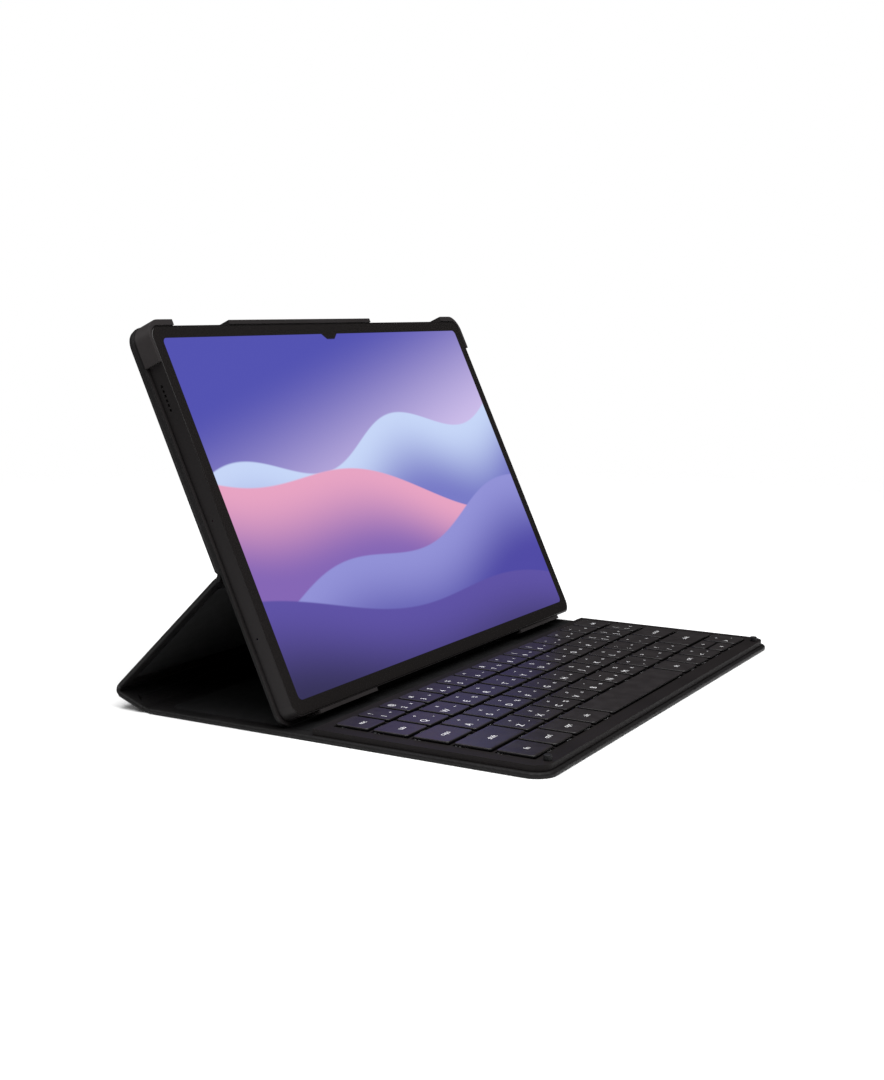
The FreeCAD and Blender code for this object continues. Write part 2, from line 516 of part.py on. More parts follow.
button_holes = [box(f"{node}_hole", (f"{x[0]} - 0.15", f"{x[1]} + 0.15"), ("TabletHeight - TabletWall - 1", "TabletHeight + 1"),
                    (f"{BUTTON_Z[0]} - 0.15", f"{BUTTON_Z[1]} + 0.15")) for node, x in BUTTONS.items()]
finish(less("tablet_housing_solid", housing_blank, [glass_seat, inside, *side_holes, *button_holes]), "tablet_housing", "tray")
finish(plate("tablet_glass_solid", *GLASS_PLATE, ("-GlassThick", "0"), "TabletCorner - GlassInset", "TabletCorner - GlassInset"),
       "tablet_glass", "tray")
DISPLAY_Z = ("-GlassThick - DisplayThick", "-GlassThick")
display_blank = plate("display_blank", both_ways(f"{GLASS_X} - SideBezel + 2"), ("LowBezel - 2", "TabletHeight - TopBezel + 1"),
                      DISPLAY_Z, "DisplayCorner", "DisplayCorner")
lens_room = pin("front_camera_room", "0", "TabletHeight - TopBezel + 0.2", ("-GlassThick - 4", "0"), "2.0")
finish(less("tablet_display_solid", display_blank, [lens_room]), "tablet_display", "tray")
finish(pin("front_camera_barrel", "0", "TabletHeight - TopBezel + 0.2", ("-GlassThick - 2.6", "-GlassThick"), "1.8"),
       "front_camera", "tray")


# ---------------------------------------------------------------- tablet: inside and back

CELLS = [("-100", "-2"), ("2", "100")]
cells = [box(f"tablet_cell{i}", x, ("16", "160"), (INSIDE_FLOOR, "-GlassThick - DisplayThick - 0.4")) for i, x in enumerate(CELLS)]
finish(group("tablet_battery_group", cells), "tablet_battery", "tray")
main_board = box("logic_board_card", ("104", f"{INSIDE_X} - 2"), ("30", "132"), (INSIDE_FLOOR, f"{INSIDE_FLOOR} + 0.9"))
processor = box("logic_board_chip", ("110", "124"), ("70", "84"), (f"{INSIDE_FLOOR} + 0.9", f"{INSIDE_FLOOR} + 2.1"))
finish(joined("logic_board_solid", [main_board, processor]), "tablet_logic_board", "tray")
SPEAKERS = [("-139.8", "-128"), ("128", "139.8")]
drivers = [box(f"speaker{i}", x, ("136", "157"), (INSIDE_FLOOR, "-2.4")) for i, x in enumerate(SPEAKERS)]
finish(group("tablet_speakers_group", drivers), "tablet_speakers", "tray")
finish(plate("rear_camera_plate_solid", CAMERA_X, CAMERA_Y, ("-TabletThick - 1.0", "-TabletThick"), 5, 5), "rear_camera_plate", "tray")
lenses = [pin(f"rear_lens{i}", f"CutoutX - 8 + {offset}", "CutoutY", ("-TabletThick - 1.5", "-TabletThick - 1.0"), radius)
          for i, (offset, radius) in enumerate(((0, 3.8), (10, 3.8), (18.5, 1.6)))]
finish(group("rear_camera_lenses_group", lenses), "rear_camera_lenses", "tray")
for node, x in BUTTONS.items():
    finish(box(node + "_block", x, ("TabletHeight - TabletWall", "TabletHeight + 0.4"), BUTTON_Z), node, "tray")


# ---------------------------------------------------------------- check and export

doc.recompute()
faults = [thing.Label for thing in doc.Objects if {"Invalid", "Error"} & set(thing.State)]
faults += [piece.Label for piece in finished if piece.Shape.isNull() or not piece.Shape.isValid()]
if faults:
    raise RuntimeError("objects that failed: " + ", ".join(faults))
os.makedirs("parts", exist_ok=True)
for piece in finished:
    piece.Shape.exportStep(f"parts/{piece.Label}.step")
print(len(finished), "nodes")
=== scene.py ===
# Folio keyboard case in its typing position, holding a tablet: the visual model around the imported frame.
import json
import math

import bpy
import numpy as np
from mathutils import Matrix, Vector

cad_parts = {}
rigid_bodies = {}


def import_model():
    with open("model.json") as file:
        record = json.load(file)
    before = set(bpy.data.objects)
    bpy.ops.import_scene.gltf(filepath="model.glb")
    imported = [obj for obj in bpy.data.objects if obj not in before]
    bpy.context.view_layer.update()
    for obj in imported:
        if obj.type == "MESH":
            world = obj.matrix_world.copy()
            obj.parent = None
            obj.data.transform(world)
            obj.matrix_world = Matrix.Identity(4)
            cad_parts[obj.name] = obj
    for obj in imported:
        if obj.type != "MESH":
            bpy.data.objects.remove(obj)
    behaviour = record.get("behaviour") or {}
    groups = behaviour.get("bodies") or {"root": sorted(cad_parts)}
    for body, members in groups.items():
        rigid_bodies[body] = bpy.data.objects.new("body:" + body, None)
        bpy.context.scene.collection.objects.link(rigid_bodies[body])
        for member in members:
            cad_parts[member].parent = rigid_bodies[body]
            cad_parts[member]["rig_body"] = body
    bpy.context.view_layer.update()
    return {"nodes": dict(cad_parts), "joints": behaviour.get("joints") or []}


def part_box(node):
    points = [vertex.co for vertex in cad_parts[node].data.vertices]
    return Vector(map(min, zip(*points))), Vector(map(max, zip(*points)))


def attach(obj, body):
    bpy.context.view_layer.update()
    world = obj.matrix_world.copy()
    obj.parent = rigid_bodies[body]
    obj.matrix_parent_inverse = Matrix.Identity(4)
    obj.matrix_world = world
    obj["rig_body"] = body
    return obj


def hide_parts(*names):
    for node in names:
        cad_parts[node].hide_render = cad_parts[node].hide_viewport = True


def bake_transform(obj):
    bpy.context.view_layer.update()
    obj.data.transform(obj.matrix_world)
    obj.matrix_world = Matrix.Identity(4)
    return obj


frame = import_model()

MM = 0.001


# ---------------------------------------------------------------- shader arithmetic
# Every finish below is built from two things: a wrapped socket that does sums, and one call that adds
# any other node. A finish is one Principled shader.

class Field:
    """A value that varies over a surface. Sums on it add Math nodes."""

    def __init__(self, finish, socket):
        self.finish = finish
        self.socket = socket

    def sum(self, operation, *others):
        return self.finish.node("Math", {"operation": operation}, [self, *others])

    def __add__(self, other): return self.sum("ADD", other)
    def __sub__(self, other): return self.sum("SUBTRACT", other)
    def __mul__(self, other): return self.sum("MULTIPLY", other)
    def __pow__(self, other): return self.sum("POWER", other)
    def __rsub__(self, other): return self.finish.node("Math", {"operation": "SUBTRACT"}, [other, self])
    __radd__ = __add__
    __rmul__ = __mul__

    def most(self, other): return self.sum("MAXIMUM", other)
    def size(self): return self.sum("ABSOLUTE")
    def sine(self): return self.sum("SINE")

    def step(self, low, high):
        """0 below low and 1 above high, with a smooth turn between them."""
        settings = {"interpolation_type": "SMOOTHSTEP"}
        return self.finish.node("MapRange", settings, {"Value": self, "From Min": low, "From Max": high})


class Finish:
    """A material with one Principled shader, and the call that adds nodes to it."""

    def __init__(self, name, **constants):
        self.material = bpy.data.materials.new(name)
        self.material.use_nodes = True
        self.tree = self.material.node_tree
        self.shader = self.tree.nodes["Principled BSDF"]
        for socket, value in constants.items():
            self.shader.inputs[socket.replace("_", " ")].default_value = value

    def node(self, kind, settings, inputs, output=0):
        """Adds a ShaderNode of that kind, sets its settings, then its inputs, and wraps one output."""
        added = self.tree.nodes.new("ShaderNode" + kind)
        for key, value in settings.items():
            setattr(added, key, value)
        pairs = inputs.items() if isinstance(inputs, dict) else enumerate(inputs)
        for key, value in pairs:
            self.feed(added.inputs[key], value)
        return Field(self, added.outputs[output])

    def feed(self, socket, value):
        """Links a field to a socket, or sets the socket's own value."""
        if isinstance(value, Field):
            self.tree.links.new(value.socket, socket)
        elif hasattr(value, "__len__") and len(value) == 3 and socket.type == "RGBA":
            socket.default_value = (*value, 1)
        else:
            socket.default_value = value

    def place(self, scale=(1, 1, 1), shift=(0, 0, 0), turn=(0, 0, 0)):
        """Object coordinates less the shift, turned back by turn, and divided by scale."""
        coordinates = self.node("TexCoord", {}, {}, "Object")
        inputs = {"Vector": coordinates, "Location": shift, "Rotation": turn, "Scale": scale}
        return self.node("Mapping", {"vector_type": "TEXTURE"}, inputs)

    def parts(self, vector):
        """The three coordinates of a vector."""
        split = self.node("SeparateXYZ", {}, [vector])
        return [Field(self, split.socket.node.outputs[axis]) for axis in range(3)]

    def noise(self, grain, detail=2, vector=None, roughness=0.5):
        """Soft random values whose spots are about grain metres wide."""
        inputs = {"Vector": vector or self.place(), "Scale": 1 / grain,
                  "Detail": detail, "Roughness": roughness}
        return self.node("TexNoise", {}, inputs, "Fac")

    def blend(self, mask, first, second):
        """The first colour where the mask is 0, and the second where it is 1."""
        inputs = {"Factor": mask, 6: first, 7: second}
        return self.node("Mix", {"data_type": "RGBA"}, inputs, 2)

    def bump(self, height, distance, strength=1.0):
        """Feeds the shader's normal with a relief of that depth in metres."""
        inputs = {"Height": height, "Distance": distance, "Strength": strength}
        self.feed(self.shader.inputs["Normal"], self.node("Bump", {}, inputs))

    def set(self, **values):
        """Feeds sockets of the shader, such as Base_Color or Roughness."""
        for socket, value in values.items():
            self.feed(self.shader.inputs[socket.replace("_", " ")], value)


# ---------------------------------------------------------------- stage
# A pale floor that fades into a white backdrop, one large soft box overhead, and two weak ones on
# the left and behind. The camera stands to the left of the typist, low, looking across the keys to the screen.

CAMERA_PLACE = (-0.6884, -0.3551, 0.1837)
CAMERA_YAW, CAMERA_PITCH, CAMERA_ROLL = (math.radians(a) for a in (30.17, -8.13, 0.4))
CAMERA_LENS, CAMERA_SENSOR = 52.95, 36
CAMERA_SHIFT = (0.0457, -0.0100)
FLOOR_REACH = 2.5
FLOOR_FADE = (0.32, 1.05)


def stage_floor():
    """A flat square under the object: solid out to the first fade radius, clear beyond the second."""
    corners = [(x * FLOOR_REACH, y * FLOOR_REACH, 0) for x, y in ((-1, -1), (1, -1), (1, 1), (-1, 1))]
    mesh = bpy.data.meshes.new("studio_floor")
    mesh.from_pydata(corners, [], [(0, 1, 2, 3)])
    floor = bpy.data.objects.new("studio_floor", mesh)
    bpy.context.scene.collection.objects.link(floor)
    paint = Finish("pale_floor", Roughness=0.95)
    paint.shader.inputs["Specular IOR Level"].default_value = 0.0
    x, y, _ = paint.parts(paint.place())
    rim = ((x ** 2 + y ** 2) ** 0.5).step(*FLOOR_FADE)
    paint.set(Base_Color=paint.blend(paint.noise(0.8), (0.90, 0.90, 0.90), (0.92, 0.92, 0.92)), Alpha=1 - rim)
    mesh.materials.append(paint.material)


def soft_light(name, place, aim, size, power):
    """A square area light at place, facing the point aim."""
    data = bpy.data.lights.new(name, "AREA")
    data.size = size
    data.energy = power
    light = bpy.data.objects.new(name, data)
    light.location = place
    light.rotation_euler = (Vector(aim) - Vector(place)).to_track_quat("-Z", "Y").to_euler()
    bpy.context.scene.collection.objects.link(light)


def place_camera():
    """A camera at the viewing point, turned by yaw from +X towards +Y, then pitch, then roll."""
    forward = Vector((math.cos(CAMERA_PITCH) * math.cos(CAMERA_YAW),
                      math.cos(CAMERA_PITCH) * math.sin(CAMERA_YAW), math.sin(CAMERA_PITCH)))
    level_right = Vector((math.sin(CAMERA_YAW), -math.cos(CAMERA_YAW), 0))
    level_up = level_right.cross(forward)
    right = level_right * math.cos(CAMERA_ROLL) + level_up * math.sin(CAMERA_ROLL)
    up = right.cross(forward)
    data = bpy.data.cameras.new("studio_camera")
    data.lens, data.sensor_width = CAMERA_LENS, CAMERA_SENSOR
    data.shift_x, data.shift_y = CAMERA_SHIFT
    camera = bpy.data.objects.new("studio_camera", data)
    turned = Matrix((right, up, -forward)).transposed().to_4x4()
    camera.matrix_world = Matrix.Translation(CAMERA_PLACE) @ turned
    bpy.context.scene.collection.objects.link(camera)
    bpy.context.scene.camera = camera


def light_the_room():
    """White for the camera, and a dim, even light for everything that the room lights."""
    world = bpy.data.worlds.new("studio_room")
    bpy.context.scene.world = world
    world.use_nodes = True
    nodes, links = world.node_tree.nodes, world.node_tree.links
    room = nodes["Background"]
    room.inputs["Color"].default_value = (1.0, 0.97, 0.96, 1)
    room.inputs["Strength"].default_value = 0.03
    backdrop = nodes.new("ShaderNodeBackground")
    backdrop.inputs["Color"].default_value = (1, 1, 1, 1)
    path = nodes.new("ShaderNodeLightPath")
    either = nodes.new("ShaderNodeMixShader")
    links.new(path.outputs["Is Camera Ray"], either.inputs[0])
    links.new(room.outputs[0], either.inputs[1])
    links.new(backdrop.outputs[0], either.inputs[2])
    links.new(either.outputs[0], nodes["World Output"].inputs["Surface"])


stage_floor()
place_camera()
light_the_room()
soft_light("overhead_softbox", (-0.45, -0.55, 2.2), (0, 0, 0), 2.8, 120)
soft_light("left_softbox", (-1.6, -0.1, 0.9), (0, 0, 0.08), 0.8, 1.5)
soft_light("rear_softbox", (-0.9, 1.5, 1.1), (0, 0.05, 0.1), 0.7, 7)
bpy.context.scene.view_settings.view_transform = "Standard"


# ---------------------------------------------------------------- where the panels stand
# Four stiff panels in a row, joined by three soft folds. Each has its own flat frame: X to the right,
# Y away from its lower fold, Z out of its inner face. The folds' places come from the joints.

JOINTS = {joint["name"]: joint for joint in frame["joints"]}
FIRST_FOLD, REAR_FOLD, MIDDLE_FOLD = (np.array(JOINTS[name]["pos_m"])
                                      for name in ("first_fold", "rear_fold", "middle_fold"))


def lean(start, end):
    """The angle above the table of the line from start to end, seen from the right."""
    return math.atan2(end[2] - start[2], end[1] - start[1])


GLASS_NORMAL = np.array(JOINTS["tablet_lift_out"]["axis"])
STAND_ANGLE = math.atan2(-GLASS_NORMAL[1], GLASS_NORMAL[2])
UP_GLASS = np.array([0, math.cos(STAND_ANGLE), math.sin(STAND_ANGLE)])


def corner_points(node):
    """All of a node's corners, as rows of x, y, z."""
    mesh = frame["nodes"][node].data
    flat = np.empty(len(mesh.vertices) * 3)
    mesh.vertices.foreach_get("co", flat)
    return flat.reshape(-1, 3)


GLASS_FOOT = (UP_GLASS * (corner_points("tablet_housing") @ UP_GLASS).min()
              + GLASS_NORMAL * (corner_points("tablet_glass") @ GLASS_NORMAL).max())
STANDS = {
    "base": (np.zeros(3), 0.0),
    "spine": (FIRST_FOLD, lean(FIRST_FOLD, REAR_FOLD)),
    "lower_back": (REAR_FOLD, lean(REAR_FOLD, MIDDLE_FOLD)),
    "tray": (GLASS_FOOT, STAND_ANGLE),
}


def stand_up(points, panel):
    """Points from a panel's flat frame to the row frame: turned about X by its lean, then moved."""
    origin, angle = STANDS[panel]
    x, y, z = np.moveaxis(np.asarray(points, float), -1, 0)
    c, s = math.cos(angle), math.sin(angle)
    return np.stack([x, y * c - z * s, y * s + z * c], axis=-1) + origin


def lay_flat(points, panel):
    """The other way: points of the row frame in a panel's flat frame."""
    origin, angle = STANDS[panel]
    x, y, z = np.moveaxis(np.asarray(points, float) - origin, -1, 0)
    c, s = math.cos(angle), math.sin(angle)
    return np.stack([x, y * c + z * s, -y * s + z * c], axis=-1)


def flat_box(node, panel):
    """The lowest and highest corner of a node in its panel's flat frame."""
    points = lay_flat(corner_points(node), panel)
    return points.min(0), points.max(0)


# ---------------------------------------------------------------- panel skins
# Black polyurethane leather, 0.7 mm thick, wrapped round a fibre board and turned over its edges
# onto the inner face, where the lining covers the raw edge. The turned edge is soft and rounded.

def make_piece(name, points, faces, finish):
    """A mesh object from rows of points and a list of faces."""
    mesh = bpy.data.meshes.new(name)
    mesh.from_pydata(np.asarray(points).reshape(-1, 3).tolist(), [], [tuple(f) for f in faces])
    mesh.polygons.foreach_set("use_smooth", np.full(len(mesh.polygons), True))
    mesh.materials.append(finish.material)
    mesh.update()
    piece = bpy.data.objects.new(name, mesh)
    bpy.context.scene.collection.objects.link(piece)
    return piece


def mark(piece, name, values):
    """Stores one number per corner of the piece's mesh, for its finish to read."""
    attribute = piece.data.attributes.new(name, "FLOAT", "POINT")
    attribute.data.foreach_set("value", np.asarray(values, np.float32).ravel())


def rounded_outline(low, high, front, rear, stops=(), steps=9):
    """A rectangle from low to high, counterclockwise, its front and rear corners arcs of those radii.
    A corner's point k is its centre + r (cos a, sin a), a = quarter turns; stops are heights y at
    which both long sides get a point of their own."""
    sweep = np.linspace(0, math.pi / 2, steps)
    stops = np.asarray(stops, float)
    corners = ((high[0], low[1], front, -1, 1), (high[0], high[1], rear, 0, -1),
               (low[0], high[1], rear, 1, -1), (low[0], low[1], front, 2, 1))
    runs = []
    for x, y, radius, turn, inward in corners:
        side = 1 if x == high[0] else -1
        angle = sweep + turn * math.pi / 2
        centre = np.array([x - side * radius, y + inward * radius])
        runs.append(centre + radius * np.stack([np.cos(angle), np.sin(angle)], -1))
    right = np.stack([np.full(len(stops), high[0]), stops], -1)
    left = np.stack([np.full(len(stops), low[0]), stops[::-1]], -1)
    return np.concatenate([runs[0], right, runs[1], runs[2], left, runs[3]])


def ring_faces(rings, around, closed_ends=True):
    """Quads between rings of equal length, and one flat face at each end."""
    ring, place = np.meshgrid(np.arange(rings - 1), np.arange(around), indexing="ij")
    here, following = ring * around + place, ring * around + (place + 1) % around
    quads = np.stack([here, following, following + around, here + around], -1).reshape(-1, 4).tolist()
    if closed_ends:
        quads.append(list(range(around))[::-1])
        quads.append([(rings - 1) * around + i for i in range(around)])
    return quads


EDGE_ROUND = 1.15 * MM
TURNED_EDGE = 7 * MM


def edge_profile(low, high):
    """Half an ellipse round a panel's edge: insets r (1 - cos a) and heights from low to high."""
    a = np.linspace(-math.pi / 2, math.pi / 2, 11)
    return EDGE_ROUND * (1 - np.cos(a)), (low + high) / 2 + (high - low) / 2 * np.sin(a)


def leather_finish(name, tone, grain=1.05 * MM, gloss=0.50):
    """Pebbled black leather: rounded cells with fine pores between, smoother where it wraps an edge and
    painted paler there as a painted highlight, and slightly uneven in tone."""
    skin = Finish(name)
    skin.shader.inputs["Specular IOR Level"].default_value = 0.17
    place = skin.place()
    cells = skin.node("TexVoronoi", {"feature": "SMOOTH_F1"},
                      {"Vector": place, "Scale": 1 / grain, "Smoothness": 0.6})
    pores = skin.noise(grain * 0.35, 3, place)
    broad = skin.noise(28 * MM, 3, place)
    # Painted highlight: a mark of 1 on rounded edges and creases paints the leather paler there, in the edge
    # colour, and makes it a little smoother.
    painted_edge_highlight = skin.node("Attribute", {"attribute_name": "painted_edge_highlight"}, {}, "Fac")
    height = cells * 0.8 + pores * 0.35
    dark = tuple(0.78 * c for c in tone)
    light = tuple(1.25 * c for c in tone)
    edge = tuple(1.35 * c for c in tone)
    ground = skin.blend(broad.step(0.35, 0.68), dark, light)
    skin.set(Base_Color=skin.blend(painted_edge_highlight * 0.55 * pores.step(0.3, 0.7), ground, edge),
             Roughness=(broad - 0.5) * 0.20 + cells * 0.16 - painted_edge_highlight * 0.06 + gloss)
    skin.bump(height, 0.22 * MM, 0.85)
    return skin


LEATHER = leather_finish("black_leather", (0.0052, 0.0047, 0.0049))


def panel_skin(node, panel, front, rear, opening=None):
    """A closed skin: its bottom, the rounded edge, the turned edge on the inner face, and the floor
    of the opening that the lining fills. Its rings follow edge_profile round the outline."""
    low, high = flat_box(node, panel)
    stops = () if opening is None else opening["stops"]
    insets, heights = edge_profile(low[2], high[2])
    floor = high[2] - 0.6 * MM
    plan = [(8 * MM, low[2]), *zip(insets, heights), (3.2 * MM if opening is None else 1.6 * MM, high[2])]
    # Each ring also gets its share of the painted edge highlight: 1 where the edge is roundest, 0.35 on the
    # turned edge, none elsewhere.
    rings, painted_edge_highlight = [], []
    for inset, height in plan:
        ring = rounded_outline(low[:2] + inset, high[:2] - inset, max(front - inset, 0.3 * MM),
                               max(rear - inset, 0.3 * MM), stops)
        rings.append(np.column_stack([ring, np.full(len(ring), height)]))
        painted_edge_highlight.append(np.full(len(ring), 1.0 if 0 <= inset < 0.35 * EDGE_ROUND else 0.0))
    for inset, height in ((-0.3 * MM, high[2]), (0, high[2] - 0.12 * MM), (0, floor), (6 * MM, floor)):
        if opening is None:
            edge = TURNED_EDGE + inset
            ring = rounded_outline(low[:2] + edge, high[:2] - edge, 2 * MM, 2 * MM)
        else:
            ring = opening["ring"](low, high, inset)
        rings.append(np.column_stack([ring, np.full(len(ring), height)]))
        painted_edge_highlight.append(np.full(len(ring), 0.35 if height > floor else 0.0))
    around = len(rings[0])
    piece = make_piece(node.replace("_cover", "_leather"), stand_up(np.array(rings), panel),
                       ring_faces(len(rings), around), LEATHER)
    mark(piece, "painted_edge_highlight", np.array(painted_edge_highlight))
    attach(piece, panel)
    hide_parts(node)


KEYBOARD_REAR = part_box("keyboard_deck")[1].y
STEP = np.array([KEYBOARD_REAR - 0.1 * MM, KEYBOARD_REAR + 0.1 * MM])


def base_opening(low, high, inset):
    """The base's opening: close to the edge round the keyboard, and a turned edge wide behind it."""
    narrow = 2.0 * MM + inset
    wide = TURNED_EDGE + inset
    far = rounded_outline(low[:2] + wide, high[:2] - wide, 3 * MM, 6 * MM, STEP)
    around = rounded_outline(low[:2] + narrow, high[:2] - narrow, 8 * MM, 6 * MM, STEP)
    return np.where((around[:, 1] < KEYBOARD_REAR)[:, None], around, far)


panel_skin("base_cover", "base", 10 * MM, 1.5 * MM, {"stops": STEP, "ring": base_opening})
panel_skin("spine_cover", "spine", 1.2 * MM, 1.2 * MM)
panel_skin("lower_back_cover", "lower_back", 2.5 * MM, 2.5 * MM)


# ---------------------------------------------------------------- soft folds
# Between the panels the skin runs on without a board, pressed thin and creased along the fold. The
# outer face folds inwards at the middle of the back and the inner face at the other two folds.

FOLD_WAVE = 0.16 * MM
FOLD_CREASE = 0.35


def fold_strip(name, node, axis, panels, reaches):
    """A strip across one fold. Its middle line is the quadratic curve from a point on one panel,
    pulled towards the fold's axis, to a point on the next; half its thickness is
    t (1 - crease (1 - (2s - 1)^2)), and fine ripples run along the fold."""
    start, end = (axis + side * reach * np.array([0, math.cos(STANDS[panel][1]), math.sin(STANDS[panel][1])])
                  for side, reach, panel in zip((-1, 1), reaches, panels))
    half_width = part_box(node)[1].x + 0.6 * MM
    s = np.linspace(0, 1, 25)[:, None]
    middle = (1 - s) ** 2 * start + 2 * s * (1 - s) * (0.15 * (start + end) / 2 + 0.85 * axis) + s ** 2 * end
    along = np.gradient(middle, axis=0)
    along /= np.linalg.norm(along, axis=1)[:, None]
    across = np.stack([0 * along[:, 0], -along[:, 2], along[:, 1]], -1)
    half = 1.12 * MM * (1 - FOLD_CREASE * (1 - (2 * s - 1) ** 2))
    section = np.concatenate([middle + across * half, (middle - across * half)[::-1]])
    weight = np.concatenate([1 - (2 * s - 1) ** 2, (1 - (2 * s - 1) ** 2)[::-1]])
    outward = np.concatenate([across, -across[::-1]])
    x = np.linspace(-half_width, half_width, 241)
    ripple = (np.sin(x / 0.0067 + 3.1 * np.sin(x / 0.041)) * 0.5 + np.sin(x / 0.0231 + 1.3) * 0.5)
    fade = np.clip((half_width - np.abs(x)) / (4 * MM), 0, 1)
    points = section[None] + outward[None] * weight[None] * FOLD_WAVE * (ripple * fade)[:, None, None]
    points[:, :, 0] = x[:, None]
    piece = make_piece(name, points, ring_faces(len(x), len(section)), LEATHER)
    # Painted highlight: the leather is painted paler along the crease, most at its middle.
    mark(piece, "painted_edge_highlight", np.broadcast_to(weight[:, 0] * 0.5, (len(x), len(section))))
    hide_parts(node)
    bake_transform(piece)


fold_strip("first_fold_leather", "base_fold_strip", FIRST_FOLD, ("base", "spine"), (2.4 * MM, 2.4 * MM))
fold_strip("rear_fold_leather", "rear_fold_strip", REAR_FOLD, ("spine", "lower_back"), (3.2 * MM, 3.2 * MM))
fold_strip("middle_fold_leather", "mid_fold_strip", MIDDLE_FOLD, ("lower_back", "tray"), (2.6 * MM, 2.6 * MM))


# ---------------------------------------------------------------- hard parts with softened edges
# Moulded and machined parts keep the frame's exact shape; only their sharp edges are rounded, as a
# mould's radius or a deburred edge is. The upper back cover is one of them: its camera opening
# has a bound edge.

def softened(node, name, finish, radius, segments=3, limit=32):
    """A copy of a node with its doubled corners merged, its flat faces made whole and every edge
    sharper than limit degrees rounded to radius."""
    source = frame["nodes"][node]
    mesh = source.data.copy()
    mesh.name = name
    piece = bpy.data.objects.new(name, mesh)
    bpy.context.scene.collection.objects.link(piece)
    bpy.context.view_layer.objects.active = piece
    bpy.ops.object.select_all(action="DESELECT")
    piece.select_set(True)
    bpy.ops.object.mode_set(mode="EDIT")
    bpy.ops.mesh.select_all(action="SELECT")
    bpy.ops.mesh.remove_doubles(threshold=0.002 * MM)
    bpy.ops.mesh.dissolve_limited(angle_limit=math.radians(1.2))
    bpy.ops.object.mode_set(mode="OBJECT")
    mesh.materials.clear()
    mesh.materials.append(finish.material)
    mesh.polygons.foreach_set("use_smooth", np.full(len(mesh.polygons), True))
    bevel = piece.modifiers.new("edge_round", "BEVEL")
    bevel.width = radius
    bevel.segments = segments
    bevel.limit_method = "ANGLE"
    bevel.angle_limit = math.radians(limit)
    bevel.use_clamp_overlap = True
    bevel.harden_normals = True
    piece.modifiers.new("face_normals", "WEIGHTED_NORMAL").keep_sharp = True
    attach(piece, source["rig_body"])
    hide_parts(node)
    return piece


softened("upper_back_cover", "upper_back_leather", LEATHER, 1.05 * MM, 5)

BINDING_PROUD = 0.42 * MM
BACK_CORNER = 9 * MM


def back_binding():
    """The skin's turned-up rim, which hides the edge of the tray's floor: half an ellipse, as deep as
    cover and floor together and thin, carried round the upper back's outline. Its run along the fold
    stays inside the cover."""
    low, high = flat_box("upper_back_cover", "tray")
    rear, front = low[2] + 0.5 * MM, flat_box("tray_lining", "tray")[0][2] - 0.1 * MM
    a = np.linspace(-math.pi / 2, math.pi / 2, 9)
    insets = np.concatenate([[1.5 * MM], 0.5 * MM - (0.5 * MM + BINDING_PROUD) * np.cos(a), [1.5 * MM]])
    heights = (rear + front) / 2 + (front - rear) / 2 * np.concatenate([[-1], np.sin(a), [1]])
    rings = []
    for inset, height in zip(insets, heights):
        ring = rounded_outline((low[0] + inset, low[1] + MM), high[:2] - inset,
                               MM, BACK_CORNER - inset, steps=13)
        rings.append(np.column_stack([ring, np.full(len(ring), height)]))
    faces = ring_faces(len(rings) + 1, len(rings[0]), closed_ends=False)
    piece = make_piece("upper_back_binding", stand_up(np.array(rings), "tray"),
                       np.array(faces) % (len(rings) * len(rings[0])), LEATHER)
    # Painted highlight: the rim is painted paler along its outermost curve.
    mark(piece, "painted_edge_highlight", np.repeat(np.clip(np.cos(np.concatenate([[2], a, [2]])), 0, 1) * 0.25, len(rings[0])))
    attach(piece, "tray")


back_binding()


# ---------------------------------------------------------------- linings
# Short-napped black microfibre, glued inside every panel and in the tray so that nothing scratches.

def microfibre_finish(name, tone):
    """Brushed nap: fine fibres, mottled where the nap lies one way or the other."""
    nap = Finish(name, Sheen_Weight=0.04, Sheen_Roughness=0.45)
    nap.shader.inputs["Specular IOR Level"].default_value = 0.06
    place = nap.place()
    fibres = nap.noise(0.28 * MM, 4, place, 0.75)
    lie = nap.noise(9 * MM, 3, nap.place((1, 0.35, 1)))
    dark = tuple(0.7 * c for c in tone)
    light = tuple(1.35 * c for c in tone)
    nap.set(Base_Color=nap.blend(lie.step(0.38, 0.64), dark, light), Roughness=fibres * 0.12 + 0.82)
    nap.bump(fibres, 0.09 * MM, 0.7)
    return nap


def paint_node(node, finish):
    """Gives a frame's own node its finish."""
    frame["nodes"][node].material_slots[0].material = finish.material


MICROFIBRE = microfibre_finish("black_microfibre", (0.0040, 0.0039, 0.0044))
for lined in ("base_lining", "spine_lining", "lower_back_lining", "tray_lining"):
    paint_node(lined, MICROFIBRE)


# ---------------------------------------------------------------- keyboard casing
# A thin moulded box with a window for each key, closed from below by a plate and eight small screws.
# Its top has a fine spark-eroded texture, a little smoother along the edges.

BEHIND_TABLET = 8.2


